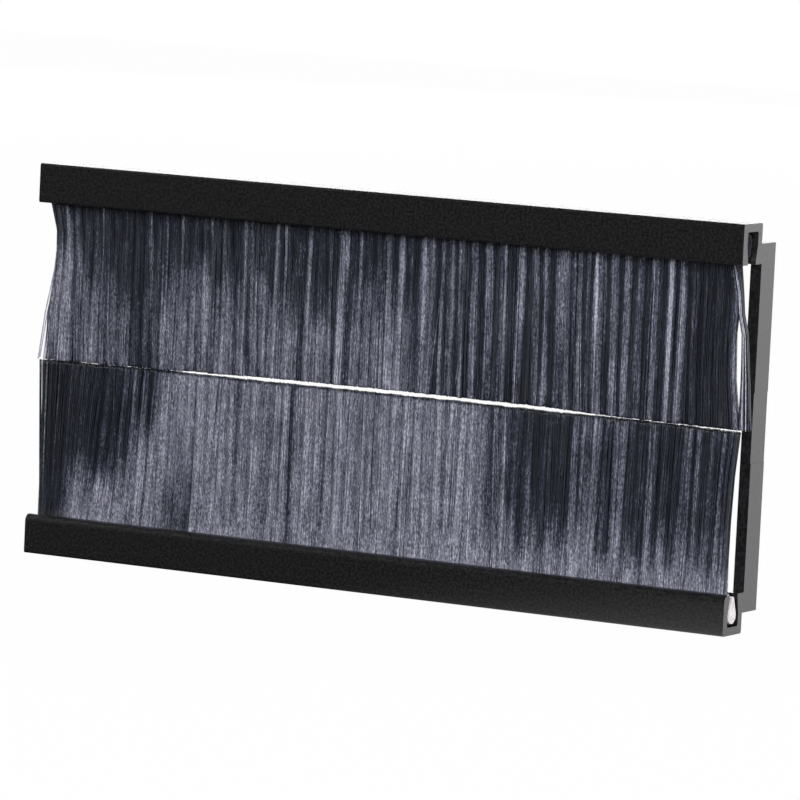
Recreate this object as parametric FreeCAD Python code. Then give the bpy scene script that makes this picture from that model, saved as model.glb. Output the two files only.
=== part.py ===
import FreeCAD
import Part
import math
import os

# Brush cable grommet: a snap-in module for a wiring face plate. One moulded frame holds two strips of
# bristles, tips to tips, and cables pass between them.
# Millimetres. X runs along the module and Z up. The front faces -Y, and the flange's rear face, which lies
# on the face plate, is at Y = 0. The origin is the middle of the face plate's aperture in that plane.

# Module
MODULE_LENGTH = 100.0
MODULE_HEIGHT = 50.0

# Flange: one C-shaped channel along the top and one along the bottom. The front edge beside the mouth is
# rounder on the lower one.
CHANNEL_FRONT_WALL = 1.05
CHANNEL_BACK_WALL = 1.05
CHANNEL_END_WALL = 1.0
OUTER_EDGE_RADIUS = 0.3
UPPER_MOUTH_EDGE_RADIUS = 0.3
LOWER_MOUTH_EDGE_RADIUS = 0.9
LIP_EDGE_RADIUS = 0.12

# Slot in each channel, measured from its mouth
SLOT_WIDTH = 2.9
SLOT_DEPTH = 4.0
SLOT_MOUTH_WIDTH = 2.1
SLOT_LIP_HEIGHT = 0.4
SLOT_TAPER_HEIGHT = 2.0
SLOT_CORNER_RADIUS = 0.3

# Spigot: the collar that goes through the face plate, with a rim of flange left above and below it. Its
# jambs start a little behind the flange's rear plane.
FLANGE_RIM = 2.5
SPIGOT_WALL = 1.3
SPIGOT_LEAD_IN = 0.15
JAMB_WALL = 1.45
JAMB_SET_BACK = 0.2
WINDOW_CORNER_RADIUS = 0.6

# Shallow moulded band across the outer side of each jamb
PAD_HEIGHT = 8.6
PAD_SINK = 0.08

# Snap lugs on the top and bottom of the spigot, behind the thickness of the face plate's lip
PLATE_LIP = 2.0
LUG_DEPTH = 2.0
LUG_LENGTH = 8.0
LUG_END_DISTANCE = 20.0
LUG_RISE = 0.6
LUG_LAND = 0.4

# Core rod of each strip, and the filaments folded round it
FOLD_SIDE_WRAP = 0.38
FOLD_END_WRAP = 0.3
FOLD_CLEARANCE = 0.05
FOLD_SET_BACK = 0.4
CORE_TOP_WIDTH = 0.7
CORE_TOP_DEPTH = 0.3
UPPER_CORE_SET_BACK = 1.0
LOWER_CORE_SET_BACK = 0.1
CORE_CLEARANCE = 0.04

# Curtain of bristles that shows. Each end of each strip starts its own distance from the module's end.
UPPER_ROOT_SET_BACK = {"left": 0.8, "right": 1.6}
LOWER_ROOT_SET_BACK = {"left": 0.75, "right": 1.15}
NECK_CLEARANCE = 0.12
NECK_HEIGHT = 0.2
SPREAD_HEIGHT = 3.0
CURTAIN_THICKNESS = 2.1
TIP_THICKNESS = 1.9

# Where the tips of the two strips meet: a long low arch, highest in the middle
PARTING_RISE = 0.45
PARTING_DROP = 0.27
PARTING_SPAN = 110.0
TIP_GAP = 0.3
TIP_UNEVENNESS = 0.25
TIP_NOTCH = 0.45

# Tufts that the bristles gather into. A stream is one strip's own run of uneven values.
UPPER_STREAM = 7
LOWER_STREAM = 20
TUFT_PITCH = 1.58
PITCH_UNEVENNESS = 0.3
ROOT_GROOVE = 0.06
GROOVE_DEPTH = 0.5
CREST_DIP = 0.25
CREST_SKEW = 0.15
TUFT_LEAN = 0.2
TUFT_TILT = 0.25

# How far the ends of a strip fan out at the tips, and how far along the strip that reaches
UPPER_SPLAY = {"left": 1.05, "right": 2.6}
LOWER_SPLAY = {"left": 0.65, "right": 0.8}
SPLAY_REACH = 3.0

# Worked out from the sizes above
HALF_LENGTH = MODULE_LENGTH / 2
HALF_HEIGHT = MODULE_HEIGHT / 2
CHANNEL_DEPTH = CHANNEL_FRONT_WALL + SLOT_WIDTH + CHANNEL_BACK_WALL
SLOT_CENTRE = -CHANNEL_BACK_WALL - SLOT_WIDTH / 2
MOUTH_LEVEL = HALF_HEIGHT - CHANNEL_END_WALL - SLOT_DEPTH
SPIGOT_DEPTH = PLATE_LIP + LUG_DEPTH
SPIGOT_HALF = HALF_HEIGHT - FLANGE_RIM
WINDOW_HALF_HEIGHT = SPIGOT_HALF - SPIGOT_WALL
WINDOW_HALF_LENGTH = HALF_LENGTH - JAMB_WALL
CORE_WIDTH = SLOT_WIDTH - 2 * (FOLD_CLEARANCE + FOLD_SIDE_WRAP)
GOLDEN = (math.sqrt(5) - 1) / 2


def scatter(index, stream):
    """A repeatable uneven value between -1 and 1 for one tuft."""
    value = (index + 1) * GOLDEN * (stream + 1) + stream * math.sqrt(2)
    return 2 * (value - math.floor(value)) - 1


def outline(corners):
    """A closed wire in the YZ plane through (y, z, radius) corners, each rounded by its radius."""
    edges = []
    joins = []
    count = len(corners)
    for i, (y, z, radius) in enumerate(corners):
        here = FreeCAD.Vector(0, y, z)
        before = FreeCAD.Vector(0, *corners[i - 1][:2])
        after = FreeCAD.Vector(0, *corners[(i + 1) % count][:2])
        back = (before - here).normalize()
        ahead = (after - here).normalize()
        if radius == 0:
            joins.append((here, here))
            continue
        half_turn = back.getAngle(ahead) / 2
        reach = radius / math.tan(half_turn)
        centre = here + (back + ahead).normalize() * (radius / math.sin(half_turn))
        start = here + back * reach
        end = here + ahead * reach
        middle = centre + (here - centre).normalize() * radius
        edges.append(Part.Arc(start, middle, end).toShape())
        joins.append((start, end))
    for i in range(count):
        leave = joins[i][1]
        arrive = joins[(i + 1) % count][0]
        edges.append(Part.LineSegment(leave, arrive).toShape())
    return Part.Wire(Part.__sortEdges__(edges))


def bar(wire, length):
    """The section in the YZ plane made into a bar of that length, centred on X = 0."""
    start = wire.copy()
    start.translate(FreeCAD.Vector(-length / 2, 0, 0))
    return Part.Face(start).extrude(FreeCAD.Vector(length, 0, 0))


def block(x_span, y_span, z_span):
    size = [span[1] - span[0] for span in (x_span, y_span, z_span)]
    return Part.makeBox(*size, FreeCAD.Vector(x_span[0], y_span[0], z_span[0]))


def turned_over(shape):
    """The shape turned half a turn about the Y axis: top for bottom and left for right."""
    turned = shape.copy()
    turned.rotate(FreeCAD.Vector(0, 0, 0), FreeCAD.Vector(0, 1, 0), 180)
    return turned


def mirrored(shape):
    """The shape's mirror image in the plane Z = 0."""
    return shape.mirror(FreeCAD.Vector(0, 0, 0), FreeCAD.Vector(0, 0, 1))


def channel(mouth_edge_radius):
    """A channel in the upper one's place: a C section, open downwards, with lips that narrow its mouth."""
    mouth = SLOT_MOUTH_WIDTH / 2
    side = SLOT_WIDTH / 2
    lip = MOUTH_LEVEL + SLOT_LIP_HEIGHT
    shoulder = lip + SLOT_TAPER_HEIGHT
    floor = MOUTH_LEVEL + SLOT_DEPTH
    section = outline([
        (-CHANNEL_DEPTH, HALF_HEIGHT, OUTER_EDGE_RADIUS),
        (0, HALF_HEIGHT, OUTER_EDGE_RADIUS),
        (0, MOUTH_LEVEL, LIP_EDGE_RADIUS),
        (SLOT_CENTRE + mouth, MOUTH_LEVEL, LIP_EDGE_RADIUS),
        (SLOT_CENTRE + mouth, lip, 0),
        (SLOT_CENTRE + side, shoulder, 0),
        (SLOT_CENTRE + side, floor, SLOT_CORNER_RADIUS),
        (SLOT_CENTRE - side, floor, SLOT_CORNER_RADIUS),
        (SLOT_CENTRE - side, shoulder, 0),
        (SLOT_CENTRE - mouth, lip, 0),
        (SLOT_CENTRE - mouth, MOUTH_LEVEL, LIP_EDGE_RADIUS),
        (-CHANNEL_DEPTH, MOUTH_LEVEL, mouth_edge_radius),
    ])
    return bar(section, MODULE_LENGTH)


def spigot():
    """The collar behind the flange: rails, and jambs that are set back, round the cable window."""
    collar = block((-HALF_LENGTH, HALF_LENGTH), (0, SPIGOT_DEPTH), (-SPIGOT_HALF, SPIGOT_HALF))
    rear_edges = [edge for edge in collar.Edges if edge.BoundBox.YMin > SPIGOT_DEPTH / 2]
    collar = collar.makeChamfer(SPIGOT_LEAD_IN, rear_edges)
    window = block(
        (-WINDOW_HALF_LENGTH, WINDOW_HALF_LENGTH),
        (-SPIGOT_DEPTH, 2 * SPIGOT_DEPTH),
        (-WINDOW_HALF_HEIGHT, WINDOW_HALF_HEIGHT),
    )
    corners = [edge for edge in window.Edges if edge.BoundBox.YLength > SPIGOT_DEPTH]
    recess = block((-HALF_LENGTH, HALF_LENGTH), (0, JAMB_SET_BACK), (-MOUTH_LEVEL, MOUTH_LEVEL))
    return collar.cut([window.makeFillet(WINDOW_CORNER_RADIUS, corners), recess])


def jamb_pad(side):
    """The shallow band sunk across a jamb's outer side."""
    face = side * HALF_LENGTH
    sunk = side * (HALF_LENGTH - PAD_SINK)
    return block((min(face, sunk), max(face, sunk)), (0, SPIGOT_DEPTH), (-PAD_HEIGHT / 2, PAD_HEIGHT / 2))


def snap_lug(x):
    """A wedge on top of the spigot. Its square front catches behind the face plate's lip."""
    rear = SPIGOT_DEPTH - SPIGOT_LEAD_IN
    root = SPIGOT_HALF - SPIGOT_WALL / 2
    section = outline([
        (PLATE_LIP, root, 0),
        (PLATE_LIP, SPIGOT_HALF + LUG_RISE, 0),
        (PLATE_LIP + LUG_LAND, SPIGOT_HALF + LUG_RISE, 0),
        (rear, SPIGOT_HALF, 0),
        (rear, root, 0),
    ])
    lug = bar(section, LUG_LENGTH)
    lug.translate(FreeCAD.Vector(x, 0, 0))
    return lug


def frame():
    """The whole moulding."""
    upper = channel(UPPER_MOUTH_EDGE_RADIUS)
    lower = mirrored(channel(LOWER_MOUTH_EDGE_RADIUS))
    solid = spigot().fuse([upper, lower])
    for side in (-1, 1):
        lug = snap_lug(side * (HALF_LENGTH - LUG_END_DISTANCE))
        solid = solid.fuse([lug, mirrored(lug)])
    return solid.cut([jamb_pad(-1), jamb_pad(1)]).removeSplitter()


def core_section(grow):
    """Teardrop section of the core rod. The mouth of the slot is at Z = 0, and the slot runs down."""
    big = CORE_WIDTH / 2
    small = CORE_TOP_WIDTH / 2
    low = -SLOT_DEPTH + FOLD_CLEARANCE + FOLD_END_WRAP + big
    high = -CORE_TOP_DEPTH - small
    slope = math.asin((big - small) / (high - low))
    side = FreeCAD.Vector(0, math.cos(slope), math.sin(slope))
    other = FreeCAD.Vector(0, -math.cos(slope), math.sin(slope))
    low_centre = FreeCAD.Vector(0, SLOT_CENTRE, low)
    high_centre = FreeCAD.Vector(0, SLOT_CENTRE, high)
    up = FreeCAD.Vector(0, 0, 1)
    big += grow
    small += grow
    right_low = low_centre + side * big
    right_high = high_centre + side * small
    left_low = low_centre + other * big
    left_high = high_centre + other * small
    return Part.Wire([
        Part.LineSegment(right_low, right_high).toShape(),
        Part.Arc(right_high, high_centre + up * small, left_high).toShape(),
        Part.LineSegment(left_high, left_low).toShape(),
        Part.Arc(left_low, low_centre - up * big, right_low).toShape(),
    ])


def folded_root():
    """The filaments where they fold round the core, filling the slot with a small clearance."""
    mouth = SLOT_MOUTH_WIDTH / 2 - NECK_CLEARANCE
    side = SLOT_WIDTH / 2 - FOLD_CLEARANCE
    lip = -SLOT_LIP_HEIGHT
    shoulder = lip - SLOT_TAPER_HEIGHT
    floor = -SLOT_DEPTH + FOLD_CLEARANCE
    section = outline([
        (SLOT_CENTRE + mouth, 0, 0),
        (SLOT_CENTRE + mouth, lip, 0),
        (SLOT_CENTRE + side, shoulder, 0),
        (SLOT_CENTRE + side, floor, CORE_WIDTH / 2),
        (SLOT_CENTRE - side, floor, CORE_WIDTH / 2),
        (SLOT_CENTRE - side, shoulder, 0),
        (SLOT_CENTRE - mouth, lip, 0),
        (SLOT_CENTRE - mouth, 0, 0),
    ])
    return bar(section, MODULE_LENGTH - 2 * FOLD_SET_BACK)


def tuft_borders(set_back, stream):
    """Where one tuft ends and the next begins, along the root of a strip."""
    first = -HALF_LENGTH + set_back["left"]
    last = HALF_LENGTH - set_back["right"]
    count = round((last - first) / TUFT_PITCH)
    pitch = (last - first) / count
    inner = [i + PITCH_UNEVENNESS * scatter(i, stream) for i in range(1, count)]
    return [first + pitch * place for place in [0, *inner, count]]


def parting(x):
    """The level of the line where the tips of the two strips meet."""
    return PARTING_RISE * math.cos(math.pi * x / PARTING_SPAN) - PARTING_DROP


def curtain(set_back, splay, stream, upward):
    """The bristles that show: a ribbed curtain of tufts, cut to an uneven line of tips. upward is 1 for the
    lower strip, whose tips follow the parting line upwards, and -1 for the upper one."""
    reach = MOUTH_LEVEL - TIP_GAP / 2
    borders = tuft_borders(set_back, stream)
    tufts = len(borders) - 1
    leans = [TUFT_LEAN * scatter(i, stream + 1) for i in range(tufts)] + [0]
    leans[0] = 0
    tilts = [TUFT_TILT * scatter(i, stream + 6) for i in range(tufts)]

    def borders_at(height):
        """The borders at a height above the root: each leans, and the strip's ends fan out."""
        share = max(height / reach, 0)
        places = []
        for x, lean in zip(borders, leans):
            left_fan = splay["left"] * math.exp((borders[0] - x) / SPLAY_REACH)
            right_fan = splay["right"] * math.exp((x - borders[-1]) / SPLAY_REACH)
            places.append(x + (right_fan - left_fan + lean) * share)
        return places

    def section(height, thickness, groove):
        """Outline of the curtain across all its tufts: a crest on each, and a groove between two."""
        xs = borders_at(height)
        share = max(height / reach, 0)
        line = []
        for i in range(tufts + 1):
            tilt = (tilts[max(i - 1, 0)] + tilts[min(i, tufts - 1)]) / 2
            line.append((xs[i], tilt * share, thickness / 2 - groove))
            if i < tufts:
                crest = thickness / 2 - groove * CREST_DIP * (1 + scatter(i, stream + 2))
                line.append(((xs[i] + xs[i + 1]) / 2, tilts[i] * share, crest))
        front = [FreeCAD.Vector(x, SLOT_CENTRE + tilt - out, height) for x, tilt, out in line]
        rear = [FreeCAD.Vector(x, SLOT_CENTRE + tilt + out, height) for x, tilt, out in reversed(line)]
        return Part.makePolygon(front + rear + front[:1])

    neck = SLOT_MOUTH_WIDTH - 2 * NECK_CLEARANCE
    top = reach + PARTING_RISE
    body = Part.makeLoft([
        section(-SLOT_LIP_HEIGHT, neck, ROOT_GROOVE),
        section(NECK_HEIGHT, neck, ROOT_GROOVE),
        section(SPREAD_HEIGHT, CURTAIN_THICKNESS, GROOVE_DEPTH),
        section(top, TIP_THICKNESS, GROOVE_DEPTH),
    ], True, True)
    tips = [reach + upward * parting(x) for x in borders]
    return body.cut(above_tips(borders_at(reach), tips, top + TIP_NOTCH, stream))


def above_tips(borders, tips, top, stream):
    """The space above the uneven line of tips, from the front of the channel to the seat. tips holds the
    highest that the bristles reach at each border."""
    line = []
    for i in range(len(borders) - 1):
        width = borders[i + 1] - borders[i]
        tip = tips[i] - TIP_UNEVENNESS * (1 + scatter(i, stream + 3)) / 2
        notch = tip - TIP_NOTCH * (1 + scatter(i, stream + 4)) / 2
        skew = CREST_SKEW * scatter(i, stream + 5)
        line.append((borders[i] + width * CREST_SKEW, notch))
        line.append((borders[i] + width * (1 / 2 + CREST_SKEW + skew), tip))
    first = borders[0] - TUFT_PITCH
    last = borders[-1] + TUFT_PITCH
    line = [(first, top), (first, tips[0]), *line, (last, tips[-1]), (last, top)]
    points = [FreeCAD.Vector(x, -CHANNEL_DEPTH, z) for x, z in line]
    face = Part.Face(Part.makePolygon(points + points[:1]))
    return face.extrude(FreeCAD.Vector(0, CHANNEL_DEPTH, 0))


def bristle_strip(set_back, splay, stream, upward):
    """One strip of bristles rooted at Z = 0 and pointing up, with the cavity that its core fills."""
    solid = folded_root().fuse(curtain(set_back, splay, stream, upward))
    cavity = bar(core_section(CORE_CLEARANCE), MODULE_LENGTH)
    return solid.cut(cavity)


def brush_core(set_back):
    """The core rod of a strip, in the strip's own place."""
    return bar(core_section(0), MODULE_LENGTH - 2 * set_back)


def swapped(sides):
    """A strip's left and right sizes as they are before it is turned over."""
    return {"left": sides["right"], "right": sides["left"]}


def seated_low(shape):
    """Moved from the strip's own place into the lower channel."""
    moved = shape.copy()
    moved.translate(FreeCAD.Vector(0, 0, -MOUTH_LEVEL))
    return moved


def seated_high(shape):
    """Turned over and moved into the upper channel."""
    moved = turned_over(shape)
    moved.translate(FreeCAD.Vector(0, 0, MOUTH_LEVEL))
    return moved


def main():
    upper_strip = bristle_strip(swapped(UPPER_ROOT_SET_BACK), swapped(UPPER_SPLAY), UPPER_STREAM, -1)
    lower_strip = bristle_strip(LOWER_ROOT_SET_BACK, LOWER_SPLAY, LOWER_STREAM, 1)
    pieces = {
        "frame": frame(),
        "upper_bristles": seated_high(upper_strip),
        "lower_bristles": seated_low(lower_strip),
        "upper_core": seated_high(brush_core(UPPER_CORE_SET_BACK)),
        "lower_core": seated_low(brush_core(LOWER_CORE_SET_BACK)),
    }
    os.makedirs("parts", exist_ok=True)
    for name, shape in pieces.items():
        print(name, shape.isValid(), len(shape.Solids), len(shape.Faces), round(shape.Volume, 1))
        shape.exportStep("parts/" + name + ".step")


main()
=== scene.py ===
import math

import bpy
import numpy as np
from mathutils import Matrix, Vector


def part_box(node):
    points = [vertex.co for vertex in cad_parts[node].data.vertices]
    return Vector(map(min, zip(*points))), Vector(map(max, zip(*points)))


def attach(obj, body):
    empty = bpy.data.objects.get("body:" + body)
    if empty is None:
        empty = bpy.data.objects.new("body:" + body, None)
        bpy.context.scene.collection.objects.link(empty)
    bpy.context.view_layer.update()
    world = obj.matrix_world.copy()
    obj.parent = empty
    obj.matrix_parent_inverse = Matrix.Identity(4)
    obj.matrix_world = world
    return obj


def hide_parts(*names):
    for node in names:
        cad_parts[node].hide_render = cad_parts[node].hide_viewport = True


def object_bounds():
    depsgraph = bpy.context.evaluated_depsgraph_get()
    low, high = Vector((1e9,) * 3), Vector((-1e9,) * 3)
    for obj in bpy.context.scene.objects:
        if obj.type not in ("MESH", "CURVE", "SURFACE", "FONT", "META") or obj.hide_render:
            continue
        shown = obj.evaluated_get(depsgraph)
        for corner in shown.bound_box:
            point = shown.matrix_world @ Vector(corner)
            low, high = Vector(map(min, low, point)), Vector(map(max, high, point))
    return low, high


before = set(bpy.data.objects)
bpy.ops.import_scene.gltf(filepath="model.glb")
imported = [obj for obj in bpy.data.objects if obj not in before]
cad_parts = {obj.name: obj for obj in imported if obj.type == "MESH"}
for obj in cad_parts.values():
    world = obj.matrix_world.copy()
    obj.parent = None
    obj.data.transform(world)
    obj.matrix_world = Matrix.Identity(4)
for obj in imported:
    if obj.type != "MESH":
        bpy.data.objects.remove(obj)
cad_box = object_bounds()

# Metres. X runs along the module, Y from its front to its back, and Z up.
MM = 0.001

# The camera, as fitted to the object's corners
CAMERA_AZIMUTH = math.radians(29.0)
CAMERA_ELEVATION = math.radians(5.70)
CAMERA_ROLL = math.radians(2.82)
CAMERA_DISTANCE = 0.8222
CAMERA_TARGET = Vector((1.16, 0.0, -0.98)) * MM
CAMERA_CLIP = (0.01, 50)
SENSOR = 36.0
LENS = 296.9

# What the frame says about the object
CAD_LOW, CAD_HIGH = (Vector(corner) for corner in cad_box)
FRAME_LOW, FRAME_HIGH = (Vector(corner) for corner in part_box("frame"))
CORE_LOW, CORE_HIGH = (Vector(corner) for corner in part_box("lower_core"))
HALF_LENGTH = FRAME_HIGH.x
CHANNEL_HEIGHT = 5.0 * MM
MOUTH_LEVEL = FRAME_HIGH.z - CHANNEL_HEIGHT
SLOT_CENTRE = (CORE_LOW.y + CORE_HIGH.y) / 2
CORE_RADIUS = (CORE_HIGH.y - CORE_LOW.y) / 2
CORE_MIDDLE = -MOUTH_LEVEL - (CORE_LOW.z + CORE_RADIUS)

# Filaments. Every one is a loop, folded round the core, with a leg on each face of the curtain.
# A layer has a number of loops, and its legs lie between two shares of the curtain's half thickness.
FILAMENT_RADIUS = 0.085 * MM
SIDES = 4
LAYERS = {"inner": (900, 0.0, 0.5), "middle": (900, 0.4, 0.8), "outer": (1200, 0.7, 1.0)}

# The fold. wrap: how far the outermost loops stand off the core, at its sides and past its end.
# loose: how wide the loops beyond the core's length are, as shares of those round it.
# shoulder: how far from the slot's middle the innermost loops pass its lips, how much further out
# the outermost do, and how deep in the channel.
FOLD_ANGLES = np.radians([0, -45, -90, -135, -180])
FOLD_SIDE_WRAP = 0.28 * MM
FOLD_END_WRAP = 0.18 * MM
FOLD_LOOSE = (0.1, 0.9)
SHOULDER_HALF = 0.55 * MM
SHOULDER_SPREAD = 0.4 * MM
SHOULDER_DEPTH = 1.0 * MM

# Half the curtain's thickness at the channel's mouth, where it has spread, and at its tips
NECK_HALF = 0.93 * MM
SPREAD_HALF = 1.05 * MM
TIP_HALF = 0.95 * MM
SPREAD_HEIGHT = 3.0 * MM

# Tufts, the same as those of the solid strips
TUFT_PITCH = 1.58 * MM
PITCH_UNEVENNESS = 0.3
ROOT_GROOVE = 0.06 * MM
GROOVE_DEPTH = 0.5 * MM
CREST_DIP = 0.25
TUFT_LEAN = 0.2 * MM
TUFT_TILT = 0.25 * MM
GOLDEN = (math.sqrt(5) - 1) / 2

# The line where the tips of the two strips meet
PARTING_RISE = 0.45 * MM
PARTING_DROP = 0.27 * MM
PARTING_SPAN = 110.0 * MM

# The gap between the tips: shut at the left, open over the middle, nearly shut at the right, and a
# little wider in the last corner. A stretch is where a change starts, and its length.
GAP_SHUT = 0.03 * MM
GAP_OPEN = 0.45 * MM
GAP_OPENS = (-31 * MM, 3 * MM)
GAP_OPENS_FULLY = (-27 * MM, 12 * MM)
GAP_HALF_OPEN = 0.5
GAP_CLOSES = (20 * MM, 16 * MM)
GAP_CLOSED = 0.87
GAP_CORNER = 0.15 * MM
GAP_CORNER_OPENS = (43 * MM, 2 * MM)

# How each strip lies. end: 1 where it hangs, -1 where it stands. stream: its tufts' own run of values.
# heights: the shares of a leg's height that have a point.
# root: where its ends start at the mouth. fold: where they lie in the channel.
# fan: how far its ends have spread at the tips. bend: the power of the height by which they do.
# drift: how far the ends first move to the right. span: by what share of the height they are back.
# splay: how far single ones stand out at the left. sway: a spot where the tips lean to the right.
# split: where an outer bundle leaves the rest. dark_tips: how much darker its cut ends are, a painted
# shadow under the gap between the tips.
# A spot is a place along the strip, a width, and how much it does.
UPPER = {
    "node": "upper_bristles", "core": "upper_core", "end": 1, "seed": 5, "stream": 7,
    "heights": (0.0, 0.18, 0.3, 0.42, 0.7, 0.985, 1.0),
    "root": (-49.2 * MM, 48.4 * MM), "fold": (-49.5 * MM, 49.3 * MM),
    "fan": (0.25 * MM, 1.6 * MM), "bend": (1.5, 2.2),
    "drift": (0.9 * MM, 0.6 * MM), "span": (0.7, 0.5),
    "splay": 2.2 * MM, "sway": (0.0, 5 * MM, 0.0), "split": 47.95 * MM, "dark_tips": 0.0,
}
LOWER = {
    "node": "lower_bristles", "core": "lower_core", "end": -1, "seed": 6, "stream": 20,
    "heights": (0.0, 0.05, 0.2, 0.45, 0.72, 0.98, 1.0),
    "root": (-49.25 * MM, 48.85 * MM), "fold": (-49.5 * MM, 49.5 * MM),
    "fan": (1.05 * MM, 0.8 * MM), "bend": (1.0, 3.0),
    "drift": (0.0, 0.0), "span": (1.0, 1.0),
    "splay": 0.0, "sway": (-41.0 * MM, 6 * MM, 1.4 * MM), "split": HALF_LENGTH, "dark_tips": 0.5,
}
FAN_REACH = 3.0 * MM
DRIFT_SKEW = 0.75

# The outer bundle: the shares of the height between which it leaves the rest, how far out its inner
# side then stands, and how much wider than its root it is, there and at the tips
BUNDLE_LEAVES = (0.2, 0.5)
BUNDLE_INNER = 1.63 * MM
BUNDLE_WIDTH = (0.2 * MM, 1.15 * MM)

# How legs differ. A wave has a spacing and a size, and neighbours share it. A spread is each one's own.
CUT_WAVE = (0.9 * MM, 0.04 * MM)
CUT_SPREAD = 0.06 * MM
GATHER_WAVE = (1.3 * MM, 0.2 * MM)
WANDER_WAVE = (3.5 * MM, 0.3 * MM)
LEAN_WAVE = (18 * MM, 0.4 * MM)
LEAN_SPREAD = 0.12 * MM
BOW_WAVE = (0.9 * MM, 0.1 * MM)
BOW_SPREAD = 0.05 * MM
DEPTH_WAVE = (0.8 * MM, 0.08 * MM)
FAN_SPREAD = 0.25

# A leg leans with a power of its height, and the innermost by a share of what the outermost do.
# A few are cut short. A few stray across the rest, where the ends' fan is weak. Some stand out at
# the left end, by at least a share of the splay. None goes past a reach beyond the solids.
LEAN_POWER = 1.2
INNERMOST_LEAN = 0.4
SHORT_SHARE = 0.04
SHORT_BY = 0.8 * MM
STRAY_SHARE = 0.012
STRAY_SPREAD = 1.2 * MM
STRAY_STEADY = 0.9
SPLAYED_SHARE = 0.13
SPLAYED_LEAST = 0.2
LEG_REACH = 1.2 * MM

# Tones run from 0, nearly black, to 1, a light lavender grey: painted sheen and shade on black nylon.
# Each is woven from the same patterns, by weight: an even painted sheen, thin strands of painted
# highlight, broad painted highlight streaks, painted shade in grooves, and a drift in patches.
UPPER_ROOT_LEFT = {"even": 0.15, "strands": 0.6, "drift": 0.1}
UPPER_ROOT_RIGHT = {"even": 0.1, "strands": 0.5, "streaks": 0.42, "drift": 0.1}
UPPER_BODY_LEFT = {"even": 0.59, "strands": 0.1, "grooves": -0.32, "drift": 0.14}
UPPER_BODY_RIGHT = {"even": 0.14, "strands": 0.1, "streaks": 0.46, "grooves": -0.32, "drift": 0.14}
# The outer bundle: black with painted white highlight strands
UPPER_BUNDLE = {"even": 0.12, "strands": 0.85}
LOWER_LEFT = {"even": 0.05, "strands": 0.12, "streaks": 0.36, "drift": 0.08}
LOWER_MIDDLE = {"even": 0.67, "grooves": -0.12, "drift": 0.07}
LOWER_RIGHT = {"even": 0.14, "strands": 0.32, "grooves": -0.12, "drift": 0.12}

# The patterns. Strands, and what is made like them, have a spacing and take a share of the width.
# A drift has the width of its broad patches, whose length is the same on both strips.
UPPER_STRANDS = (0.6 * MM, 0.24)
UPPER_GROOVE_SHADE = (0.8 * MM, 0.22)
UPPER_DRIFT = 3 * MM
BUNDLE_STRANDS = (0.035 * MM, 0.35)
LOWER_STRANDS = (0.6 * MM, 0.4)
LOWER_STREAKS = (0.9 * MM, 0.32)
LOWER_GROOVE_SHADE = (0.9 * MM, 0.2)
LOWER_DRIFT = 4 * MM
STRAND_EDGE = 0.45
BROAD_PATCH_LENGTH = 5 * MM
BROAD_SHARE = 0.4
FINE_PATCH = (0.7 * MM, 4 * MM)

# The upper strip's painted highlight strands vary in strength. Its painted highlight streaks follow a
# wave along it, with an uneven pitch and an uneven edge.
STRAND_LEVEL = 0.75
STRAND_LEVEL_WAVE = (1.5 * MM, 0.25)
STREAK_PITCH = 1.9 * MM
STREAK_PITCH_WAVE = (3.2 * MM, 0.45)
STREAK_LEVEL = 0.42
STREAK_CONTRAST = 0.85
STREAK_EDGE_WAVE = (0.9 * MM, 0.35)

# The upper strip's places. What a name ends with says what it is: FROM, UNTIL, HEIGHT and FOOT are
# stretches, along the strip or of the height, and DULL, SHADOW, DIP, GROOVED and FRAY are spots.
# The body's tone begins at a share of the height, later at the right and where it dips, and sooner
# at the very left.
UPPER_RIGHT_FROM = (0, 8 * MM)
BODY_BEGINS = 0.44
BODY_BEGINS_LATER = 0.08
BODY_BEGINS_SOONER = 0.26
BODY_SOONER_UNTIL = (-46.5 * MM, 5 * MM)
BODY_WAVE = (2 * MM, 0.12)
BODY_DIP = (-36 * MM, 5 * MM, 0.1)
BODY_FADE = 0.36
UPPER_DULL = (-37 * MM, 6 * MM, 0.1)
UPPER_SHADOWS = ((-35.7 * MM, 1.2 * MM, 0.7), (36.4 * MM, 1.2 * MM, 0.42))
UPPER_LAST_FROM = (42 * MM, 1.5 * MM)
UPPER_LAST_UNTIL = (47.5 * MM, 0.4 * MM)
UPPER_LAST_DARK = 0.85
UPPER_FIRST_UNTIL = (-48.6 * MM, 1.3 * MM)
UPPER_FIRST_HEIGHT = (0.16, 0.16)
UPPER_FIRST_DARK = 0.9

# The lower strip's places. Its dark left part ends further right towards the tips, and stops short
# of the root, as its streaked right part does. ragged: how uneven those borders are.
RAGGED_SPACING = 1.1 * MM
LEFT_ENDS = (-36 * MM, -31 * MM)
LEFT_ENDS_HEIGHT = (0.45, 0.45)
LEFT_ENDS_RAGGED = 0.8 * MM
LEFT_FADE = 2 * MM
LEFT_FOOT = (0.09, 0.28)
LEFT_FOOT_RAGGED = 0.18
LEFT_STREAKS_FROM = (-44 * MM, 3 * MM)
LOWER_FIRST_UNTIL = (-46.8 * MM, 2.5 * MM)
LOWER_FIRST_DARK = 0.92
LOWER_RIGHT_FROM = (14.3 * MM, 7.5 * MM)
RIGHT_FRAY_WAVE = (1.2 * MM, 3.75 * MM)
RIGHT_FRAY = (17 * MM, 6 * MM, 1)
RIGHT_FOOT = (0.05, 0.3)
RIGHT_FOOT_RAGGED = 0.1
# A spot where the painted shade in the grooves is deeper
LOWER_GROOVED = (9 * MM, 6 * MM, 0.2)
LOWER_SHADOW = (-12.3 * MM, 0.5 * MM, 0.4)
FOOT_SHADOW = (-28 * MM, 2.5 * MM, 0.6)
FOOT_SHADOW_STRANDS = (0.7 * MM, 0.5)
FOOT_SHADOW_HEIGHT = (0.16, 0.22)
FOOT_SHADOW_RAGGED = 0.1

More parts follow.
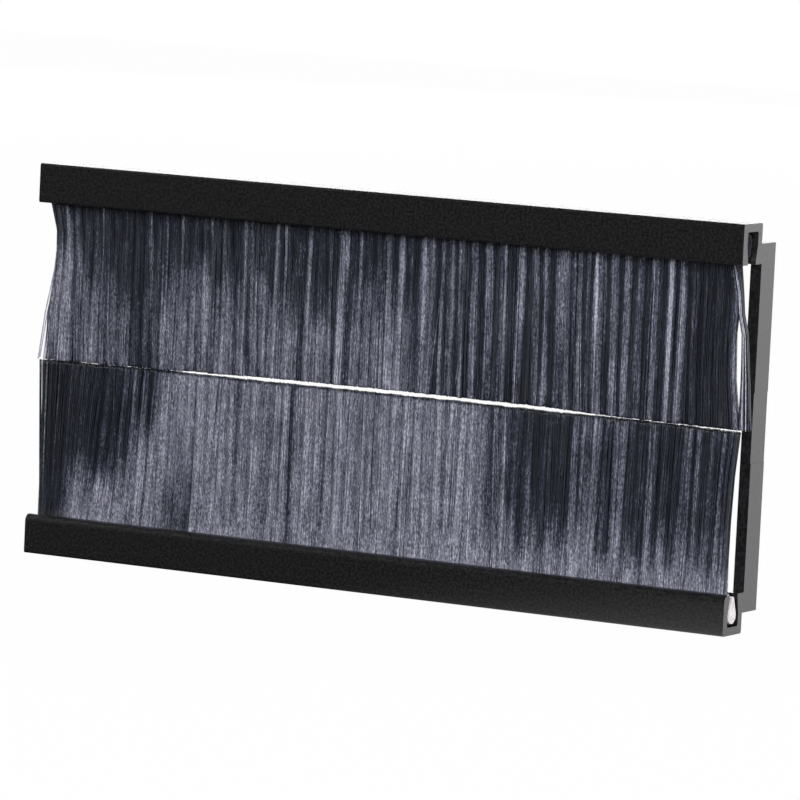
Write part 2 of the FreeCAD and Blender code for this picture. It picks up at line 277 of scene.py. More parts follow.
# What single filaments add to their tone: each one's own spread, painted light on the crests and
# painted shade in the grooves between, and a painted highlight on those that stand out at the left,
# from a share of their height on
TONE_SPREAD = 0.05
CREST_TONE = 0.14
CREST_TONE_MIDDLE = 0.6
SPLAYED_BRIGHT_BY = 0.4

# Materials. Stops are a value and the colour there, and the nylon's value is a tone of painted sheen
# and shade, broken up by painted glints in flecks and blotches. The UV maps have rows of bands, with a
# share of each band's height for the tube's caps.
GRAIN_DEPTH = 0.04 * MM
FRAME_STOPS = [(0.42, (0.0012, 0.0012, 0.0015)), (0.6, (0.0155, 0.0155, 0.017))]
CORE_STOPS = [(0.35, (0.54, 0.49, 0.49)), (0.7, (0.72, 0.70, 0.71))]
NYLON_STOPS = [
    (0.0, (0.003, 0.0048, 0.0105)),
    (0.3, (0.0195, 0.0255, 0.045)),
    (0.65, (0.187, 0.195, 0.252)),
    (1.0, (0.52, 0.52, 0.62)),
]
FLECK_STRENGTH = 1.35
BLOTCH_STRENGTH = 0.5
UV_ROWS = 4
UV_CAP = 0.02

# Light. Each panel faces the object: where it stands, its width and height, and its power.
# The room's stops run from its front to its back, and the backdrop dims between two heights.
PANELS = {
    "left_panel": ((-1.05, -0.1, 0.3), (0.7, 0.9), 10),
    "right_panel": ((1.0, 0.1, 0.25), (0.6, 0.9), 2.5),
    "back_panel": ((0.6, 1.1, 0.3), (0.8, 0.8), 3),
    "horizon_panel": ((-0.58, 1.05, 0.11), (0.9, 0.22), 3),
    "front_panel": ((0.7, -0.8, 0.4), (0.8, 0.6), 14),
}
ROOM_STOPS = [
    (0.0, (0.03, 0.03, 0.032)),
    (0.5, (0.06, 0.06, 0.064)),
    (0.66, (0.8, 0.8, 0.83)),
    (0.88, (1.0, 1.0, 1.0)),
]
BACKDROP_STRENGTH = 1.3
BACKDROP_DIMS = (0.25, 0.7)
CEILING_STRENGTH = 0.2
FLOOR_SIZE = 2.4
TABLE_EDGE = (-0.010, 0.030)
TABLE_STOPS = [(0.0, (0.04, 0.04, 0.04)), (1.0, (0.9, 0.9, 0.9))]
WHITE = (1, 1, 1, 1)
PAPER = (0.8, 0.8, 0.8, 1)
FLOOR_GLOW = 0.98

# Random generators: how many a strip has, and the limit of their seeds. The legs take run -1 in front
# and run 1 behind, and the tones a run of their own.
GENERATORS = 10
SEED_LIMIT = 1 << 30
TONE_RUN = 2

# A ripple's knots reach past both ends of a strip, with a few cells to spare.
RIPPLE_REACH = 1.2 * HALF_LENGTH
SPARE_CELLS = 4


def mix(low, high, share):
    """Goes from low to high as the share goes from 0 to 1."""
    return low * (1 - share) + high * share


def smooth(value):
    """Rises from 0 to 1 as the value does, with no sharp ends."""
    share = np.clip(value, 0, 1)
    return share * share * (3 - 2 * share)


def rise(value, stretch):
    """0 up to the stretch's start, and smoothly up to 1 over its length."""
    start, length = stretch
    return smooth((value - start) / length)


def spot(x, shape):
    """What a spot does: all of it at its place, and less on both sides, over about its width."""
    place, width, strength = shape
    return strength * np.exp(-(((x - place) / width) ** 2))


def ripple(x, spacing, rng):
    """Smooth uneven values between about -1 and 1 along x, with a bump or a dip in each spacing."""
    cells = int(2 * RIPPLE_REACH / spacing) + SPARE_CELLS
    knots = rng.uniform(-1, 1, cells)
    place = (x + RIPPLE_REACH) / spacing
    cell = np.clip(np.floor(place).astype(int), 0, cells - 2)
    return mix(knots[cell], knots[cell + 1], smooth(place - cell))


def waver(x, wave, rng):
    """A ripple along x, from the wave's spacing and size."""
    spacing, size = wave
    return size * ripple(x, spacing, rng)


def patches(x, height, width, length, rng):
    """Smooth uneven values between about -1 and 1 over a strip, in patches of that size."""
    rows = int(MOUTH_LEVEL / length) + SPARE_CELLS
    levels = np.stack([ripple(x, width, rng) for _ in range(rows)])
    place = np.clip(height / length, 0, rows - 2)
    row = np.floor(place).astype(int)
    low = np.take_along_axis(levels, row.T, axis=0).T
    high = np.take_along_axis(levels, row.T + 1, axis=0).T
    return mix(low, high, smooth(place - row))


def uneven(x, height, width, broad_rng, fine_rng):
    """Broad patches of that width with fine ones in them."""
    broad = patches(x, height, width, BROAD_PATCH_LENGTH, broad_rng)
    fine = patches(x, height, *FINE_PATCH, fine_rng)
    return mix(fine, broad, BROAD_SHARE)


def strands(x, pattern, rng):
    """1 where a strand runs and 0 between, with soft edges."""
    spacing, taken = pattern
    return smooth((ripple(x, spacing, rng) + 2 * taken - 1) / STRAND_EDGE + 0.5)


def fresh(seeds, run):
    """New random generators from a strip's seeds, the same ones each time for the same run."""
    return [np.random.default_rng(seed + run) for seed in seeds]


def parting(x):
    """The level where the tips of the two strips meet."""
    return PARTING_RISE * np.cos(math.pi * x / PARTING_SPAN) - PARTING_DROP


def tip_gap(x):
    """The width of the gap between the tips."""
    opening = rise(x, GAP_OPENS) * mix(GAP_HALF_OPEN, 1, rise(x, GAP_OPENS_FULLY))
    closing = 1 - GAP_CLOSED * rise(x, GAP_CLOSES)
    corner = GAP_CORNER * rise(x, GAP_CORNER_OPENS)
    return GAP_OPEN * opening * closing + corner + GAP_SHUT


def scatter(index, stream):
    """A repeatable uneven value between -1 and 1 for each tuft."""
    value = (index + 1) * GOLDEN * (stream + 1) + stream * math.sqrt(2)
    return 2 * (value % 1) - 1


def tuft_surface(lie):
    """A strip's grooves and crests in turn along its root, and what each has: how far it stands back
    from full thickness, as a share of the groove's depth, the lean of its tips, and their tilt."""
    turned = lie["end"] > 0
    first, last = sorted(-x if turned else x for x in lie["root"])
    count = round((last - first) / TUFT_PITCH)
    stream = lie["stream"]
    places = np.arange(count + 1.0)
    places[1:-1] += PITCH_UNEVENNESS * scatter(places[1:-1], stream)
    borders = first + (last - first) / count * places
    tuft = np.arange(count)
    lean = TUFT_LEAN * scatter(np.arange(count + 1), stream + 1)
    lean[[0, -1]] = 0
    tilt = TUFT_TILT * scatter(tuft, stream + 6)
    lines = {
        "place": (borders, (borders[1:] + borders[:-1]) / 2),
        "dip": (np.ones(count + 1), CREST_DIP * (1 + scatter(tuft, stream + 2))),
        "lean": (lean, (lean[1:] + lean[:-1]) / 2),
        "tilt": ((np.append(tilt, tilt[-1]) + np.insert(tilt, 0, tilt[0])) / 2, tilt),
    }
    surface_line = {}
    for key, (at_borders, at_crests) in lines.items():
        line = np.empty(2 * count + 1)
        line[0::2] = at_borders
        line[1::2] = at_crests
        surface_line[key] = line
    if turned:
        surface_line = {key: line[::-1] for key, line in surface_line.items()}
        surface_line["place"] = -surface_line["place"]
        surface_line["lean"] = -surface_line["lean"]
    return surface_line


def strip(lie, tone_of):
    """One strip of bristles. Every filament is a loop: from one tip down its front leg, round the core
    in the channel, and up its rear leg to the other tip."""
    rng = np.random.default_rng(lie["seed"])
    seeds = rng.integers(SEED_LIMIT, size=GENERATORS)
    tufted = tuft_surface(lie)
    first, last = lie["root"]
    pieces = []
    for layer, (count, low, high) in LAYERS.items():
        place = (rng.permutation(count) + rng.random(count)) / count
        x0 = first + (last - first) * place
        depth = low + (high - low) * np.sqrt(rng.random(count))
        front, front_tones = leg(x0, depth, -1, lie, tufted, tone_of, seeds, rng)
        rear, rear_tones = leg(x0, depth, 1, lie, tufted, tone_of, seeds, rng)
        fold = folded(x0, depth, lie, rng)
        fold_tones = np.zeros(fold.shape[:2])
        paths = np.concatenate([front[:, ::-1], fold, rear], axis=1)
        tones = np.concatenate([front_tones[:, ::-1], fold_tones, rear_tones], axis=1)
        paths[:, :, 1] += SLOT_CENTRE
        paths[:, :, 2] = lie["end"] * (MOUTH_LEVEL - paths[:, :, 2])
        name = lie["node"].replace("bristles", "filaments") + "_" + layer
        pieces.append(tubes(name, paths, tones, rng.uniform(0, math.pi, count)))
    return pieces


def end_closeness(x0, lie):
    """How near roots are to the strip's left end and to its right end, from 1 there to 0 far away."""
    left = lie["root"][0]
    right = min(lie["root"][1], lie["split"])
    return np.exp((left - x0) / FAN_REACH), np.exp(np.minimum(x0 - right, 0) / FAN_REACH)


def folded(x0, depth, lie, rng):
    """The part of each loop inside the channel, from the front of the slot's mouth to its rear."""
    count = len(x0)
    left, right = end_closeness(x0, lie)
    x = x0 + (lie["fold"][1] - lie["root"][1]) * right**3
    x += (lie["fold"][0] - lie["root"][0]) * left**3
    core_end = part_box(lie["core"])[1][0]
    loose = np.where(x > core_end, rng.uniform(*FOLD_LOOSE, count), 1)
    side_reach = (CORE_RADIUS + FILAMENT_RADIUS + depth * FOLD_SIDE_WRAP) * loose
    end_reach = (CORE_RADIUS + FILAMENT_RADIUS + depth * FOLD_END_WRAP) * loose
    shoulder = SHOULDER_HALF + depth * SHOULDER_SPREAD
    fold = np.zeros((count, 2 + len(FOLD_ANGLES), 3))
    fold[:, :, 0] = x[:, None]
    fold[:, 1:-1, 1] = -side_reach[:, None] * np.cos(FOLD_ANGLES)
    fold[:, 1:-1, 2] = -CORE_MIDDLE + end_reach[:, None] * np.sin(FOLD_ANGLES)
    fold[:, 0, 1] = -shoulder
    fold[:, -1, 1] = shoulder
    fold[:, (0, -1), 2] = -SHOULDER_DEPTH
    return fold


def cut_lengths(x0, lie, wave_rng, rng):
    """How long each leg is, from the channel's mouth to its cut tip."""
    count = len(x0)
    cut = np.abs(rng.normal(0, CUT_SPREAD, count)) + waver(x0, CUT_WAVE, wave_rng)
    short = np.where(rng.random(count) < SHORT_SHARE, rng.exponential(SHORT_BY, count), 0)
    return MOUTH_LEVEL - lie["end"] * parting(x0) - tip_gap(x0) / 2 - cut - short


def leg(x0, depth, face, lie, tufted, tone_of, seeds, rng):
    """The points and tones of the legs on one face: face is -1 in front and 1 behind."""
    (gather_rng, wander_rng, bow_rng, depth_rng, _,
     cut_rng, lean_rng, _, _, fan_rng) = fresh(seeds, face)
    count = len(x0)
    share = np.array(lie["heights"])[None, :]
    height = share * cut_lengths(x0, lie, cut_rng, rng)[:, None]

    left, right = end_closeness(x0, lie)
    steady = 1 - np.maximum(left, right) ** 2
    lean = waver(x0, GATHER_WAVE, gather_rng) + waver(x0, WANDER_WAVE, wander_rng)
    lean += waver(x0, LEAN_WAVE, lean_rng) + rng.normal(0, LEAN_SPREAD, count)
    lean *= steady * mix(INNERMOST_LEAN, 1, depth)
    stray = (rng.random(count) < STRAY_SHARE) & (steady > STRAY_STEADY)
    lean = np.where(stray, rng.normal(0, STRAY_SPREAD, count), lean)
    stands_out = rng.random(count) < SPLAYED_SHARE
    splayed = (np.where(stands_out, rng.uniform(SPLAYED_LEAST, 1, count), 0) * left**2)[:, None]
    bow = waver(x0, BOW_WAVE, bow_rng) * steady + rng.normal(0, BOW_SPREAD, count)
    x = x0[:, None] + lean[:, None] * share**LEAN_POWER + bow[:, None] * np.sin(math.pi * share)

    dip = np.interp(x, tufted["place"], tufted["dip"])
    tilt = np.interp(x, tufted["place"], tufted["tilt"]) * share
    spread = rise(height, (0, SPREAD_HEIGHT))
    half = NECK_HALF + (SPREAD_HALF - NECK_HALF) * spread + (TIP_HALF - SPREAD_HALF) * share
    out = half - mix(ROOT_GROOVE, GROOVE_DEPTH, spread) * dip - FILAMENT_RADIUS
    y = face * depth[:, None] * out + waver(x0, DEPTH_WAVE, depth_rng)[:, None] * spread + tilt

    x += np.interp(x, tufted["place"], tufted["lean"]) * share
    fan = 1 + left * fan_rng.uniform(-FAN_SPREAD, FAN_SPREAD, count)
    x += ends_lean(x0, share, lie, left * fan, right) - splayed * lie["splay"] * share**2
    x = np.clip(x, CAD_LOW.x - LEG_REACH, CAD_HIGH.x + LEG_REACH)

    # Painted sheen and shade: light on the crests, shade in the grooves, a highlight on the splayed
    # legs
    tone = tone_of(x0, share + np.zeros_like(x), seeds)
    tone += rng.normal(0, TONE_SPREAD, count)[:, None]
    tone += CREST_TONE * (CREST_TONE_MIDDLE - dip) * spread
    tone += splayed * rise(share, (0, SPLAYED_BRIGHT_BY))
    # A painted shadow on the cut ends, under the gap between the tips
    tone[:, -1] -= lie["dark_tips"]
    return np.stack([x, y, height], axis=2), np.clip(tone, 0, 1)


def ends_lean(x0, share, lie, left, right):
    """How far the legs near a strip's ends lean along it."""
    closeness = (left, right)
    sides = []
    for side, outward in enumerate((-1, 1)):
        back_by = np.clip(share / lie["span"][side], 0, 1)
        drift = lie["drift"][side] * np.sin(math.pi * back_by**DRIFT_SKEW)
        spread = outward * lie["fan"][side] * share ** lie["bend"][side]
        sides.append(closeness[side][:, None] * (drift + spread))
    swayed = spot(x0, lie["sway"])[:, None] * share
    outer = (np.maximum(x0 - lie["split"], 0) / (lie["root"][1] - lie["split"]))[:, None]
    leaving, left_by = BUNDLE_LEAVES
    gone = rise(share, (leaving, left_by - leaving))
    width = np.interp(share, (left_by, 1), BUNDLE_WIDTH)
    bundle = mix(sides[1], BUNDLE_INNER + outer * width, gone)
    return sides[0] + swayed + np.where(outer > 0, bundle, sides[1])


def woven(patterns, weights):
    """The tone that a strip's patterns give with those weights."""
    return sum(weight * patterns[name] for name, weight in weights.items())


def upper_tone(x, share, seeds):
    """Painted sheen and shade: thin painted highlight strands on navy black below the channel, which
    pass into an even painted grey sheen further down. The left end is grey from near its root, the
    right is darker and streaked all the way, and its end nearly black. The outer bundle has painted
    white highlight strands."""
    (strand_rng, groove_shade_rng, body_rng, broad_rng, fine_rng,
     level_rng, pitch_rng, bundle_rng, edge_rng, _) = fresh(seeds, TONE_RUN)
    level = STRAND_LEVEL + waver(x, STRAND_LEVEL_WAVE, level_rng)
    turns = x / STREAK_PITCH + waver(x, STREAK_PITCH_WAVE, pitch_rng)
    streaks = STREAK_LEVEL + STREAK_CONTRAST * np.cos(2 * math.pi * turns)
    patterns = {
        "even": 1,
        "strands": (strands(x, UPPER_STRANDS, strand_rng) * level)[:, None],
        "streaks": smooth(streaks + waver(x, STREAK_EDGE_WAVE, edge_rng))[:, None],
        "grooves": strands(x, UPPER_GROOVE_SHADE, groove_shade_rng)[:, None],
        "drift": uneven(x, share * MOUTH_LEVEL, UPPER_DRIFT, broad_rng, fine_rng),
    }
    at_right = rise(x, UPPER_RIGHT_FROM)
    right = at_right[:, None]
    root = mix(woven(patterns, UPPER_ROOT_LEFT), woven(patterns, UPPER_ROOT_RIGHT), right)
    body = mix(woven(patterns, UPPER_BODY_LEFT), woven(patterns, UPPER_BODY_RIGHT), right)
    body -= spot(x, UPPER_DULL)[:, None]
    begins = BODY_BEGINS + BODY_BEGINS_LATER * at_right + waver(x, BODY_WAVE, body_rng)
    begins -= BODY_BEGINS_SOONER * (1 - rise(x, BODY_SOONER_UNTIL))
    begins += spot(x, BODY_DIP)
    tone = mix(root, body, rise(share, (begins[:, None] - BODY_FADE / 2, BODY_FADE)))

    last = (rise(x, UPPER_LAST_FROM) - rise(x, UPPER_LAST_UNTIL))[:, None]
    first = (1 - rise(x, UPPER_FIRST_UNTIL))[:, None] * (1 - rise(share, UPPER_FIRST_HEIGHT))
    tone *= (1 - UPPER_LAST_DARK * last) * (1 - UPPER_FIRST_DARK * first)
    for shadow in UPPER_SHADOWS:
        tone *= 1 - spot(x, shadow)[:, None]
    # The outer bundle: painted white highlight strands on black
    white = {"even": 1, "strands": strands(x, BUNDLE_STRANDS, bundle_rng)[:, None]}
    return np.where(x[:, None] > UPPER["split"], woven(white, UPPER_BUNDLE), tone)


def lower_tone(x, share, seeds):
    """Painted sheen and shade: nearly black at the left, the more so towards the tips, an even painted
    grey sheen over the middle, and dark streaks at the right that stop short of a light root."""
    (strand_rng, groove_shade_rng, _, broad_rng, fine_rng,
     ragged_rng, _, streak_rng, fray_rng, foot_rng) = fresh(seeds, TONE_RUN)
    streaks = strands(x, LOWER_STREAKS, streak_rng) * rise(x, LEFT_STREAKS_FROM)
    patterns = {
        "even": 1,
        "strands": strands(x, LOWER_STRANDS, strand_rng)[:, None],
        "streaks": streaks[:, None],
        "grooves": strands(x, LOWER_GROOVE_SHADE, groove_shade_rng)[:, None],
        "drift": uneven(x, share * MOUTH_LEVEL, LOWER_DRIFT, broad_rng, fine_rng),
    }
    middle = woven(patterns, LOWER_MIDDLE) - spot(x, LOWER_GROOVED)[:, None] * patterns["grooves"]

    ragged = ripple(x, RAGGED_SPACING, ragged_rng)[:, None]
    start, length = LOWER_RIGHT_FROM
    fray = waver(x, RIGHT_FRAY_WAVE, fray_rng) * spot(x, RIGHT_FRAY)
    right = rise(x, (start - fray, length))[:, None]
    start, length = RIGHT_FOOT
    right = right * rise(share, (start - RIGHT_FOOT_RAGGED * ragged, length))
    tone = mix(middle, woven(patterns, LOWER_RIGHT), right)

    ends = mix(*LEFT_ENDS, rise(share, LEFT_ENDS_HEIGHT)) + LEFT_ENDS_RAGGED * ragged
    left = 1 - rise(x[:, None], (ends - LEFT_FADE / 2, LEFT_FADE))
    start, length = LEFT_FOOT
    left = left * rise(share, (start - LEFT_FOOT_RAGGED * ragged, length))
    tone = mix(tone, woven(patterns, LOWER_LEFT), left)

    start, length = FOOT_SHADOW_HEIGHT
    foot = (spot(x, FOOT_SHADOW) * strands(x, FOOT_SHADOW_STRANDS, foot_rng))[:, None]
    foot = foot * (1 - rise(share, (start - FOOT_SHADOW_RAGGED * ragged, length)))
    first = (1 - rise(x, LOWER_FIRST_UNTIL))[:, None]
    shadow = spot(x, LOWER_SHADOW)[:, None]
    return tone * (1 - LOWER_FIRST_DARK * first) * (1 - shadow) * (1 - foot)


def tubes(name, paths, tones, spin):
    """One mesh of closed tubes. paths is (tube, point, xyz), tones (tube, point), and spin turns each
    tube about its own axis."""
    count, points = tones.shape
    along = np.gradient(paths, axis=1)
    along /= np.linalg.norm(along, axis=2, keepdims=True)
    side = np.array([1.0, 0, 0]) - along * along[:, :, :1]
    side /= np.linalg.norm(side, axis=2, keepdims=True)
    third = np.cross(along, side)
    rings = []
    for k in range(SIDES):
        angle = spin[:, None, None] + 2 * math.pi * k / SIDES
        rings.append(paths + FILAMENT_RADIUS * (np.cos(angle) * side + np.sin(angle) * third))
    corners = np.stack(rings, axis=2).reshape(-1, 3)
    ring = np.arange(count * points).reshape(count, points) * SIDES
    quads = []
    for k in range(SIDES):
        after = (k + 1) % SIDES
        low, high = ring[:, :-1], ring[:, 1:]
        sheet = np.stack([low + k, low + after, high + after, high + k], axis=2)
        quads.append(sheet.reshape(-1, 4))
    start_caps = ring[:, 0, None] + np.arange(SIDES)[::-1]
    end_caps = ring[:, -1, None] + np.arange(SIDES)
    faces = np.concatenate([*quads, start_caps, end_caps])
    mesh = bpy.data.meshes.new(name)
    mesh.vertices.add(len(corners))
    mesh.vertices.foreach_set("co", corners.ravel())
    mesh.loops.add(faces.size)
    mesh.loops.foreach_set("vertex_index", faces.ravel())
    mesh.polygons.add(len(faces))
    mesh.polygons.foreach_set("loop_start", np.arange(0, faces.size, SIDES))
    mesh.update(calc_edges=True)
    mesh.shade_smooth()
    tone = mesh.attributes.new("tone", "FLOAT", "POINT")
    tone.data.foreach_set("value", np.repeat(tones.ravel(), SIDES))
    lay_out(mesh, count, points)
    piece = bpy.data.objects.new(name, mesh)
    bpy.context.collection.objects.link(piece)
    return piece


def lay_out(mesh, count, points):
    """A UV map with an upright band for each tube, in rows, so that a bake keeps each one's tone."""
    columns = math.ceil(count / UV_ROWS)
    tube = np.arange(count)
    left = (tube % columns)[:, None]
    floor = (tube // columns)[:, None]
    share = np.linspace(UV_CAP, 1 - UV_CAP, points)[None, :]
    low, high = share[:, :-1], share[:, 1:]
    spans = []
    for k in range(SIDES):
        spans.append(((left + k / SIDES, left + (k + 1) / SIDES), (floor + low, floor + high)))
    spans.append(((left, left + 1), (floor, floor + UV_CAP)))
    spans.append(((left, left + 1), (floor + 1 - UV_CAP, floor + 1)))
    uvs = []
    for (u0, u1), (v0, v1) in spans:
        quad = np.broadcast_arrays(u0, v0, u1, v0, u1, v1, u0, v1)
        uvs.append(np.stack(quad, axis=-1).reshape(-1, 2) / (columns, UV_ROWS))
    layer = mesh.uv_layers.new(name="OFBake")
    layer.data.foreach_set("uv", np.concatenate(uvs).ravel())


def nodes_of(owner):
    """The emptied node tree of a material or a world: its nodes and its links."""
    owner.use_nodes = True
    tree = owner.node_tree
    tree.nodes.clear()
    return tree.nodes, tree.links


def add(nodes, kind, values):
    """A new node, with the values of some of its inputs."""
    node = nodes.new(kind)
    for key, value in values.items():
        node.inputs[key].default_value = value
    return node


def surface(name, roughness, specular):
    """A material with its Principled shader and output, ready for its patterns."""
    material = bpy.data.materials.new(name)
    nodes, links = nodes_of(material)
    output = nodes.new("ShaderNodeOutputMaterial")
    values = {"Roughness": roughness, "Specular IOR Level": specular}
    shader = add(nodes, "ShaderNodeBsdfPrincipled", values)
    links.new(shader.outputs["BSDF"], output.inputs["Surface"])
    return material, nodes, links, shader


def noise(nodes, links, scale, detail, stretch=(1, 1, 1)):
    """Noise in the object's own metres, stretched along an axis where its factor is small."""
    where = nodes.new("ShaderNodeTexCoord")
    mapping = add(nodes, "ShaderNodeMapping", {"Scale": stretch})
    texture = add(nodes, "ShaderNodeTexNoise", {"Scale": scale, "Detail": detail})
    links.new(where.outputs["Object"], mapping.inputs["Vector"])
    links.new(mapping.outputs["Vector"], texture.inputs["Vector"])
    return texture.outputs["Fac"]


def ramp(nodes, links, source, stops):
    """The source's value turned into a colour by the stops."""
    node = nodes.new("ShaderNodeValToRGB")
    elements = node.color_ramp.elements
    while len(elements) < len(stops):
        elements.new(0.5)
    for element, (position, colour) in zip(elements, stops):
        element.position = position
        element.color = (*colour, 1)
    links.new(source, node.inputs["Fac"])
    return node.outputs["Color"]


def scaled(nodes, links, source, factor, plus):
    """The source's value less its middle of 0.5, times a factor, plus another socket."""
    centred = add(nodes, "ShaderNodeMath", {1: 0.5})
    centred.operation = "SUBTRACT"
    links.new(source, centred.inputs[0])
    total = add(nodes, "ShaderNodeMath", {1: factor})
    total.operation = "MULTIPLY_ADD"
    links.new(centred.outputs[0], total.inputs[0])
    links.new(plus, total.inputs[2])
    return total.outputs[0]


def frame_plastic():
    """Black moulded plastic with a fine spark-eroded grain."""
    material, nodes, links, shader = surface("frame_plastic", roughness=0.34, specular=0.75)
    mottle = noise(nodes, links, scale=3200, detail=3)
    links.new(ramp(nodes, links, mottle, FRAME_STOPS), shader.inputs["Base Color"])
    grain = noise(nodes, links, scale=6000, detail=3)
    bump = add(nodes, "ShaderNodeBump", {"Strength": 0.25, "Distance": GRAIN_DEPTH})
    links.new(grain, bump.inputs["Height"])
    links.new(bump.outputs["Normal"], shader.inputs["Normal"])
    return material


def core_plastic():
    """Pale unpigmented plastic, slightly stained."""
    material, nodes, links, shader = surface("core_plastic", roughness=0.55, specular=0.5)
    stain = noise(nodes, links, scale=1500, detail=3)
    links.new(ramp(nodes, links, stain, CORE_STOPS), shader.inputs["Base Color"])
    return material


def filament_nylon():
    """Black nylon filament. Its tone, painted sheen and shade, runs from near black to a lavender grey,
    with painted broken glints along each filament."""
    material, nodes, links, shader = surface("filament_nylon", roughness=0.36, specular=0.5)
    tone = nodes.new("ShaderNodeAttribute")
    tone.attribute_name = "tone"
    # Painted glints in fine flecks, and painted sheen that varies in blotches
    flecks = noise(nodes, links, scale=6000, detail=2, stretch=(1, 1, 0.4))
    blotches = noise(nodes, links, scale=900, detail=2, stretch=(1, 1, 0.3))
    value = scaled(nodes, links, flecks, FLECK_STRENGTH, tone.outputs["Fac"])
    value = scaled(nodes, links, blotches, BLOTCH_STRENGTH, value)
    links.new(ramp(nodes, links, value, NYLON_STOPS), shader.inputs["Base Color"])
    return material


def mixed(nodes, links, share, low, high):
    """Two shaders mixed by a socket's share: the low one at 0 and the high one at 1."""
    mixer = nodes.new("ShaderNodeMixShader")
    links.new(share, mixer.inputs["Fac"])
    links.new(low, mixer.inputs[1])
    links.new(high, mixer.inputs[2])
    return mixer.outputs["Shader"]


def make_camera():
    """The camera, level with the ground but for its roll, and aimed at the target."""
    back = Vector((
        math.sin(CAMERA_AZIMUTH) * math.cos(CAMERA_ELEVATION),
        -math.cos(CAMERA_AZIMUTH) * math.cos(CAMERA_ELEVATION),
        math.sin(CAMERA_ELEVATION),
    ))
    level = Vector((0, 0, 1)).cross(back).normalized()
    upright = back.cross(level)
    right = level * math.cos(CAMERA_ROLL) + upright * math.sin(CAMERA_ROLL)
    up = upright * math.cos(CAMERA_ROLL) - level * math.sin(CAMERA_ROLL)
    data = bpy.data.cameras.new("camera")
    data.lens = LENS
    data.sensor_width = SENSOR
    data.clip_start, data.clip_end = CAMERA_CLIP
    camera = bpy.data.objects.new("camera", data)
    bpy.context.collection.objects.link(camera)
    turn = Matrix((right, up, back)).transposed().to_4x4()
    camera.matrix_world = Matrix.Translation(CAMERA_TARGET + back * CAMERA_DISTANCE) @ turn
    bpy.context.scene.camera = camera


def area_light(name, place, size, power):
    """A panel of light that faces the object and that the camera doesn't see."""
    data = bpy.data.lights.new(name, "AREA")
    data.shape = "RECTANGLE"
    data.size, data.size_y = size
    data.energy = power
    light = bpy.data.objects.new(name, data)
    bpy.context.collection.objects.link(light)
    light.location = place
    light.rotation_euler = (-Vector(place)).to_track_quat("-Z", "Y").to_euler()
    light.visible_camera = False


def make_world():
    """White all round to the camera. A bright backdrop low behind the object, and a dimmer room,
    light the object."""
    world = bpy.data.worlds.new("studio")
    bpy.context.scene.world = world
    nodes, links = nodes_of(world)
    where = nodes.new("ShaderNodeTexCoord")
    axes = nodes.new("ShaderNodeSeparateXYZ")
    links.new(where.outputs["Generated"], axes.inputs["Vector"])
    span = add(nodes, "ShaderNodeMapRange", {"From Min": -1})
    links.new(axes.outputs["Y"], span.inputs["Value"])
    dims_from, dims_to = BACKDROP_DIMS
    strength = add(nodes, "ShaderNodeMapRange", {
        "From Min": dims_from,
        "From Max": dims_to,
        "To Min": BACKDROP_STRENGTH,
        "To Max": CEILING_STRENGTH,
    })
    links.new(axes.outputs["Z"], strength.inputs["Value"])
    light = nodes.new("ShaderNodeBackground")
    links.new(ramp(nodes, links, span.outputs["Result"], ROOM_STOPS), light.inputs["Color"])
    links.new(strength.outputs["Result"], light.inputs["Strength"])
    white = add(nodes, "ShaderNodeBackground", {"Color": WHITE})
    seen = nodes.new("ShaderNodeLightPath").outputs["Is Camera Ray"]
    shown = mixed(nodes, links, seen, light.outputs["Background"], white.outputs["Background"])
    output = nodes.new("ShaderNodeOutputWorld")
    links.new(shown, output.inputs["Surface"])


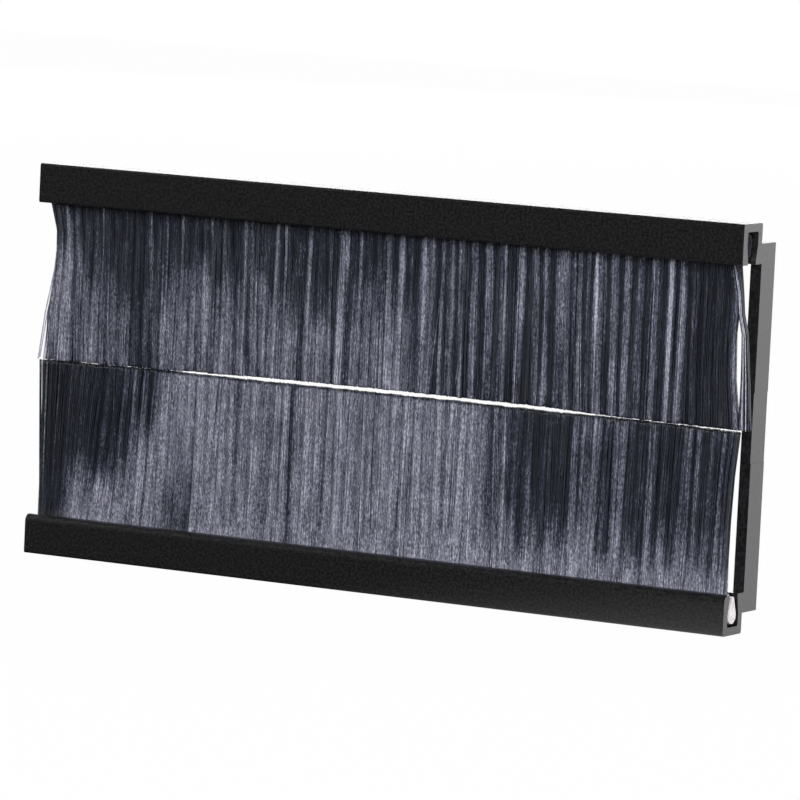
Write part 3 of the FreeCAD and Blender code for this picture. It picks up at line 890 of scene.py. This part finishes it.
def make_floor():
    """A white floor under the object, which keeps its shadow. Away from the camera's own rays it is
    dark in front of the object and white behind it, like a table that ends under a white backdrop,
    and what mirrors it sees it without the object's shadow."""
    bpy.ops.mesh.primitive_plane_add(size=FLOOR_SIZE, location=(0, 0, FRAME_LOW.z))
    floor = bpy.context.object
    floor.name = "floor"
    material = bpy.data.materials.new("floor_white")
    nodes, links = nodes_of(material)
    where = nodes.new("ShaderNodeTexCoord")
    backwards = (math.sin(CAMERA_AZIMUTH), math.cos(CAMERA_AZIMUTH), 0)
    across = add(nodes, "ShaderNodeVectorMath", {1: backwards})
    across.operation = "DOT_PRODUCT"
    links.new(where.outputs["Object"], across.inputs[0])
    edge_from, edge_to = TABLE_EDGE
    depth = add(nodes, "ShaderNodeMapRange", {"From Min": edge_from, "From Max": edge_to})
    links.new(across.outputs["Value"], depth.inputs["Value"])
    shade = ramp(nodes, links, depth.outputs["Result"], TABLE_STOPS)
    table = nodes.new("ShaderNodeBsdfDiffuse")
    links.new(shade, table.inputs["Color"])
    mirrored = add(nodes, "ShaderNodeEmission", {"Strength": BACKDROP_STRENGTH})
    links.new(shade, mirrored.inputs["Color"])
    paper = add(nodes, "ShaderNodeBsdfDiffuse", {"Color": PAPER})
    glow = add(nodes, "ShaderNodeEmission", {"Color": WHITE})
    white = add(nodes, "ShaderNodeMixShader", {"Fac": FLOOR_GLOW})
    links.new(paper.outputs["BSDF"], white.inputs[1])
    links.new(glow.outputs["Emission"], white.inputs[2])
    path = nodes.new("ShaderNodeLightPath")
    glossy, seen = path.outputs["Is Glossy Ray"], path.outputs["Is Camera Ray"]
    unseen = mixed(nodes, links, glossy, table.outputs["BSDF"], mirrored.outputs["Emission"])
    shown = mixed(nodes, links, seen, unseen, white.outputs["Shader"])
    output = nodes.new("ShaderNodeOutputMaterial")
    links.new(shown, output.inputs["Surface"])
    floor.data.materials.append(material)


def dress(node, material):
    """Gives a solid's mesh its material."""
    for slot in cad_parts[node].material_slots:
        slot.material = material


make_camera()
make_world()
make_floor()
for name, (place, size, power) in PANELS.items():
    area_light(name, place, size, power)

dress("frame", frame_plastic())
pale = core_plastic()
dress("upper_core", pale)
dress("lower_core", pale)

nylon = filament_nylon()
for lie, tone_of in ((UPPER, upper_tone), (LOWER, lower_tone)):
    for piece in strip(lie, tone_of):
        piece.data.materials.append(nylon)
        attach(piece, "root")
        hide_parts(lie["node"])

bpy.context.scene.view_settings.view_transform = "Standard"
